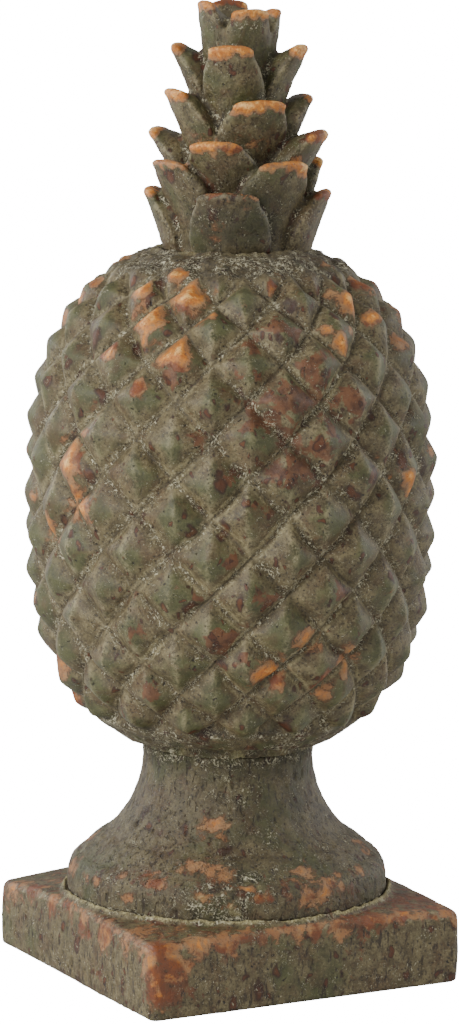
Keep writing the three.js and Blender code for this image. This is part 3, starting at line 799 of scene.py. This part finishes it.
# wear: the listed places, which reach furthest along each scale's two ridges, and the tips of some scales
rubbed_tip = np.clip(1 - 1.3 * from_tip, 0, 1) * step(rubbing, 0.74, 0.95)
front = near(fruit_points, [FRUIT_FRONT])
rubs = [(angle, height, FRUIT_RUB_SPREAD * reach) for angle, height, reach in FRUIT_WEAR]
stains = [(angle, height, FRUIT_STAIN_SPREAD * reach) for angle, height, reach in FRUIT_STAINS]
arms = np.exp(-((aside / 0.13) ** 2)) + np.exp(-((upwards / 0.16) ** 2))
fruit_wear = (1.15 + 0.45 * np.minimum(arms, 1)) * near(fruit_points, on_profile(fruit_outline, rubs))
fruit_wear = np.maximum(fruit_wear, rubbed_tip * (1 - step(front, 0, 0.3)))
fruit_wear = np.maximum(fruit_wear, 0.1 + 0.2 * rough(fruit_points, 0.03, 58))
ridge = np.exp(-((aside / 0.09) ** 2)) * (1 - step(from_tip, 0.5, 0.95))
ridge *= 0.6 + 0.6 * rough(fruit_points, 0.02, 66)
fruit_stain = near(fruit_points, on_profile(fruit_outline, stains)) * 1.2
fruit_stain = np.maximum(fruit_stain, 0.12 + 0.22 * step(rough(fruit_points, 0.03, 59), 0.0, 0.6))

# moss on the tips, grit in the grooves, pale rims beside them that are rubbed and partly a painted highlight,
# # mortar under the crown and over the neck, and painted shade in the grooves and on the shoulder
# more moss on the facets right of each scale's upright ridge, the side turned from the light from the left on
# the front: moss and painted shade
fruit_moss = 0.96 - 0.85 * from_tip + 0.20 * step(aside, -0.15, 0.15) + 0.14 * (mossiness - 0.5)
fruit_moss += 0.12 * rough(fruit_points, 0.04, 60) - 0.3 * on_shoulder - 0.12
fruit_grit = 0.75 * step(from_tip, 0.6, 1.0) * edge_row + 0.25 * in_groove + on_shoulder + 0.8 * (1 - in_scales)
fruit_grit += 0.35 * rough(fruit_points, 0.014, 61)
rim_line = np.exp(-(((np.maximum(np.abs(along), np.abs(across)) - 0.87) / 0.045) ** 2)) * edge_row
rim_line *= step(rough(fruit_points, 0.012, 75), -0.3, 0.5)
pale_rim = rim_line * step(rough(fruit_points, 0.035, 78), -0.1, 0.4)
mortar = 0.8 * bead * step(rough(fruit_points, 0.005, 70), -0.3, 0.5)
mortar = np.maximum(mortar, 0.6 * under_lip * step(rough(fruit_points, 0.008, 71), 0.0, 0.5))
# painted shade: the grooves darkened in patches, the shoulder under the crown darkened in patches, and the
# crack kept as a dark line
deep = np.maximum(step(np.abs(along), 0.90, 1.0) * (1 - low_edge), 0.6 * step(np.abs(across), 0.92, 1.0))
deep *= edge_row * (0.2 + 0.8 * step(rough(fruit_points, 0.008, 74), -0.4, 0.5))
dirty_shoulder = on_shoulder * (0.5 + 0.5 * step(rough(fruit_points, 0.007, 77), -0.4, 0.5))
fruit_shade = np.maximum(np.maximum(0.26 * np.clip(deep, 0, 1), 0.7 * crack), 0.38 * dirty_shoulder)
leans_back = np.abs(across[:-1]) > np.abs(along[:-1])
fruit = closed_skin("scaled_fruit", fruit_points, leans_back, wear=fruit_wear * (1 - 0.5 * in_groove),
                    stain=np.clip(fruit_stain, 0, 1), grit=np.clip(fruit_grit, 0, 1), moss=fruit_moss,
                    # rub and highlight: pale ridges and rims, as rubbed patina and as a painted highlight
                    rub=np.clip(0.8 * ridge + 1.0 * low_edge * edge_row + 1.0 * rim_line, 0, 1),
                    shade=fruit_shade, lime=np.maximum(0.75 * mortar, 0.42 * pale_rim))
fruit.data.materials.append(clay_material("weathered fruit", 0.0010))
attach(fruit, "root")
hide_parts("fruit")


# Crown: six tiers of four thick clay leaves, pressed one by one on to a core and smoothed into it, their blunt
# tips bent outwards and rubbed to the orange clay. The top four run together into a small cup.

CROWN_BOTTOM = 0.3735
CROWN_HEIGHT = 0.1265
CROWN_BASE_RADIUS = 0.0375
CROWN_MIDDLE = (0.0023, -0.0012)
CROWN_CORE_RADIUS = 0.0335
CROWN_CORE_TOP_RADIUS = 0.014
CROWN_CUP_DEPTH = 0.009
LEAF_THICKNESS = 0.0065
LEAF_STEPS = 40
LEAF_SIDES = 36
CORE_ROWS = 60
CORE_COLUMNS = 72
MELT_CELL = 0.0011

# The shaded front leaf: x, y, z and how far the shade reaches.
CROWN_SHADED_LEAF = (-0.016, -0.034, 0.388, 0.036)

# Each tier: turn in degrees, root and tip as shares of the crown's height, the radius of the leaf's back at its
# root and tip and half its width as shares of the base radius, how much lower each tip ends in millimetres, and
# how far each tip is rubbed.
CROWN_TIERS = [
    (-35, -0.16, 0.25, 0.94, 1.34, 0.62, (0, 0, 0, 0), (0.8, 0.7, 0.5, 0.1)),
    (5, 0.02, 0.37, 0.88, 1.31, 0.58, (0, 0, 0, 0), (0.6, 0.8, 0.9, 1.0)),
    (-44, 0.15, 0.484, 0.76, 1.31, 0.56, (0, 0, 0, 5), (0.9, 0.7, 0.9, 1.0)),
    (-10, 0.29, 0.647, 0.66, 1.09, 0.55, (3, 0, 0, 5), (0.5, 0.8, 0.9, 1.0)),
    (-36, 0.46, 0.825, 0.56, 1.0, 0.46, (0, 0, 0, 0), (0.8, 0.8, 1.0, 0.9)),
    (-10, 0.62, 1.0, 0.47, 0.62, 0.4, (4, 0, 0, 4), (0.6, 0.7, 0.9, 0.8)),
]


def leaf(angle, drop, tier):
    """One leaf as ovals along a spine. The spine's radius grows as s^1.8 and its height evenly. Half the width
    swells from 0.72 to full over the first 0.6, narrows as (1 - s^5)^0.5 and closes on a quarter-round tip.
    Towards the core the oval deepens into a web, 0.8 times what is left to the tip's height."""
    _, root, tip, root_radius, tip_radius, width = tier[:6]
    share = np.sin(np.linspace(0, np.pi / 2, LEAF_STEPS))[:, None]
    around = np.linspace(0, 2 * np.pi, LEAF_SIDES, endpoint=False)[None]
    start = CROWN_BASE_RADIUS * root_radius - LEAF_THICKNESS / 2
    reach = CROWN_BASE_RADIUS * (tip_radius - root_radius)
    low = CROWN_HEIGHT * root
    rise = CROWN_HEIGHT * (tip - root) - drop / 1000
    radius, height = start + reach * share ** 1.8, low + rise * share
    slope = np.concatenate([1.8 * reach * np.maximum(share, 1e-3) ** 0.8, rise + 0 * share], axis=1)
    slope = slope / np.linalg.norm(slope, axis=1, keepdims=True)
    spread = 0.72 + 0.28 * step(share, 0, 0.6)
    cap = np.sqrt(1 - np.clip((share - 0.94) / 0.06, 0, 1) ** 2)
    lip = np.sqrt(1 - np.clip((share - 0.95) / 0.05, 0, 1) ** 2)
    half_width = CROWN_BASE_RADIUS * width * spread * np.maximum(np.sqrt(1 - share ** 5), 0.70) * cap
    half_thickness = LEAF_THICKNESS / 2 * np.maximum(np.sqrt(1 - share ** 8), 0.75) * lip
    web = 0.8 * (low + rise - height)
    depth = np.minimum(half_thickness + web, 0.62 * radius)
    out = np.cos(around) * np.where(np.cos(around) > 0, half_thickness, depth)
    aside = half_width * np.sign(np.sin(around)) * np.abs(np.sin(around)) ** 0.8
    turn = angle + aside / radius
    distance = radius + out * slope[:, 1:]
    z = np.maximum(height - out * slope[:, :1], 0)
    return np.stack([distance * np.cos(turn), distance * np.sin(turn), z], axis=-1)


def joined(grids):
    """Several closed grids in one list of points and faces."""
    points, faces, first = [], [], 0
    for grid in grids:
        rows, columns = grid.shape[:2]
        points += [grid.reshape(-1, 3), grid[0].mean(axis=0)[None], grid[-1].mean(axis=0)[None]]
        faces += grid_faces(rows, columns, first)
        first += rows * columns + 2
    return np.concatenate(points), faces


def fused(points, faces, cell):
    """The closed grids melted into one skin by a remesh with cells of the given size: its points, their
    normals, its edges and its faces."""
    parts = skin("crown_parts", points, faces)
    remesh = parts.modifiers.new("melt", "REMESH")
    remesh.mode = "VOXEL"
    remesh.voxel_size = cell
    depsgraph = bpy.context.evaluated_depsgraph_get()
    melted = bpy.data.meshes.new_from_object(parts.evaluated_get(depsgraph))
    places = np.empty(3 * len(melted.vertices))
    melted.vertices.foreach_get("co", places)
    normals = np.empty(3 * len(melted.vertices))
    melted.vertices.foreach_get("normal", normals)
    ties = np.empty(2 * len(melted.edges), dtype=np.int64)
    melted.edges.foreach_get("vertices", ties)
    polygons = [tuple(p.vertices) for p in melted.polygons]
    bpy.data.objects.remove(parts)
    bpy.data.meshes.remove(melted)
    return places.reshape(-1, 3), normals.reshape(-1, 3), ties.reshape(-1, 2), polygons


def eased(values, ties, rounds):
    """Each point's values replaced by the mean of its neighbours along the edges, the given number of times."""
    count = len(values)
    links = np.concatenate([ties, ties[:, ::-1]])
    number = np.maximum(np.bincount(links[:, 0], minlength=count), 1)[:, None]
    for _ in range(rounds):
        sums = [np.bincount(links[:, 0], weights=values[links[:, 1], k], minlength=count) for k in range(3)]
        values = np.stack(sums, axis=-1) / number
    return values


leaves, rims = [], []
for tier in CROWN_TIERS:
    for k in range(4):
        grid = leaf(np.radians(tier[0] + 90 * k), tier[6][k], tier)
        leaves.append(grid)
        rims.append((grid[-9:-1, ::3].reshape(-1, 3), tier[7][k]))
core = np.array([(CROWN_CORE_RADIUS, 0), (CROWN_CORE_TOP_RADIUS, CROWN_HEIGHT - CROWN_CUP_DEPTH)])
core = turned(evenly(core, CORE_ROWS), CORE_COLUMNS)
crown_points, crown_normals, crown_ties, crown_faces = fused(*joined([*leaves, core]), MELT_CELL)

# how far each point lies inside its near and its wider surroundings, and how far the tips are rubbed
crown_points = crown_points + 0.5 * (eased(crown_points, crown_ties, 1) - crown_points)
hollow = ((eased(crown_points, crown_ties, 8) - crown_points) * crown_normals).sum(axis=-1)
gap = ((eased(crown_points, crown_ties, 40) - crown_points) * crown_normals).sum(axis=-1)
tip_wear = np.zeros(len(crown_points))
for rim_points, rubbed in rims:
    distance = np.linalg.norm(crown_points[:, None] - rim_points[None], axis=-1).min(axis=1)
    tip_wear = np.maximum(tip_wear, (0.8 + 0.6 * rubbed) - distance / (0.0015 + 0.0035 * rubbed))
tip_wear += 0.6 * rough(crown_points, 0.014, 79) - 0.08
crown_move = 0.45 * rough(crown_points, 0.012, 71) + 0.30 * rough(crown_points, 0.0055, 72)
crown_move += 0.17 * rough(crown_points, 0.0027, 73) - 0.15
crown_move += 0.35 * step(hollow, 0.0002, 0.0008) * rough(crown_points, 0.0025, 74)
standing = step(crown_points[:, 2], 0.0003, 0.002)
crown_points = crown_points + (crown_move * MM * standing)[:, None] * crown_normals
crown_points[:, 2] = np.clip(crown_points[:, 2], 0, CROWN_HEIGHT)
crown_points = crown_points + (*CROWN_MIDDLE, CROWN_BOTTOM)
crown_grit = 0.15 + step(hollow, 0.0001, 0.0006) + 0.8 * step(gap, 0.0002, 0.0016)
crown_grit += 0.35 * rough(crown_points, 0.012, 77)
# painted shade in the gaps between the leaves and on the front leaf, and a little darker all over
crown_shade = 0.04 + 0.50 * step(gap, 0.0006, 0.0028) + 0.60 * near(crown_points, [CROWN_SHADED_LEAF])
crown = skin("leafy_crown", crown_points, crown_faces,
             wear=np.maximum(tip_wear, 0.10 + 0.2 * rough(crown_points, 0.02, 75)),
             stain=np.clip(0.15 + 0.35 * rough(crown_points, 0.02, 76) + 0.4 * step(gap, 0.0002, 0.0012), 0, 1),
             grit=np.clip(crown_grit, 0, 1), moss=0.45 + 0.25 * rough(crown_points, 0.025, 78),
             # rub and highlight: the raised parts paled, as rubbed patina and as a painted highlight
             rub=0.6 * step(-hollow, 0.0002, 0.0006), shade=crown_shade, lime=0 * hollow)
crown.data.materials.append(clay_material("weathered crown", 0.0009, streaks=0.5))
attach(crown, "root")
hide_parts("crown")


# Studio: a plain pale floor and a white surround, whose glow only the camera sees, a broad soft light from the
# left, a weaker one from the right and a small one behind on the left that catches the edges.

FLOOR_HALF = 6.0
FLOOR_GLOW = 16.0
SURROUND_LIGHT = 0.5
SURROUND_GLOW = 16.5
LIGHT_AIM = (0, 0, 0.25)

floor_mesh = bpy.data.meshes.new("floor")
floor_corners = [(FLOOR_HALF * x, FLOOR_HALF * y, 0) for x, y in ((-1, -1), (1, -1), (1, 1), (-1, 1))]
floor_mesh.from_pydata(floor_corners, [], [(0, 1, 2, 3)])
floor = bpy.data.objects.new("floor", floor_mesh)
bpy.context.scene.collection.objects.link(floor)
pale = bpy.data.materials.new("pale floor")
pale.use_nodes = True
floor_tree = pale.node_tree
floor_shader = floor_tree.nodes["Principled BSDF"]
floor_shader.inputs["Base Color"].default_value = (0.80, 0.80, 0.79, 1)
floor_shader.inputs["Roughness"].default_value = 0.9
floor_shader.inputs["Emission Color"].default_value = (1, 1, 1, 1)
seen = node(floor_tree, "ShaderNodeLightPath").outputs["Is Camera Ray"]
floor_tree.links.new(figure(floor_tree, "MULTIPLY", seen, FLOOR_GLOW), floor_shader.inputs["Emission Strength"])
floor.data.materials.append(pale)

surround = bpy.data.worlds.new("white surround")
surround.use_nodes = True
sky_tree = surround.node_tree
sky = sky_tree.nodes["Background"]
sky.inputs["Color"].default_value = (1, 1, 1, 1)
seen = node(sky_tree, "ShaderNodeLightPath").outputs["Is Camera Ray"]
glow = figure(sky_tree, "MULTIPLY", seen, SURROUND_GLOW)
sky_tree.links.new(figure(sky_tree, "ADD", SURROUND_LIGHT, glow), sky.inputs["Strength"])
bpy.context.scene.world = surround


def soft_light(name, place, aim, size, power):
    """A square lamp at a place, turned to face a point: its minus Z axis runs from the place to the point."""
    lamp = bpy.data.lights.new(name, "AREA")
    lamp.size = size
    lamp.energy = power
    light = bpy.data.objects.new(name, lamp)
    back = np.array(place) - np.array(aim)
    back = back / np.linalg.norm(back)
    side = np.cross((0, 0, 1), back)
    side = side / np.linalg.norm(side)
    over = np.cross(back, side)
    turn = np.column_stack([side, over, back])
    light.matrix_world = Matrix([[*turn[k], place[k]] for k in range(3)] + [[0, 0, 0, 1]])
    bpy.context.scene.collection.objects.link(light)


soft_light("left softbox", (-2.1, -0.5, 1.3), LIGHT_AIM, 1.3, 57)
soft_light("right fill", (2.0, -0.2, 0.9), LIGHT_AIM, 1.5, 20)
soft_light("left rim light", (-0.9, 1.9, 0.9), LIGHT_AIM, 0.9, 18)

# The camera stands 2.05 m from the axis and 0.54 m up, 28 degrees round, and looks down by 8 degrees.
camera_data = bpy.data.cameras.new("camera")
camera_data.sensor_width = 36
camera_data.lens = 141.0
camera_data.clip_end = 50
camera = bpy.data.objects.new("camera", camera_data)
camera.matrix_world = Matrix([
    [0.8822145, 0.0606264, -0.4669283, -0.965434],
    [-0.4707635, 0.1323276, -0.8722793, -1.803170],
    [0.0089044, 0.9893502, 0.1452820, 0.538427],
    [0, 0, 0, 1],
])
bpy.context.scene.collection.objects.link(camera)
bpy.context.scene.camera = camera
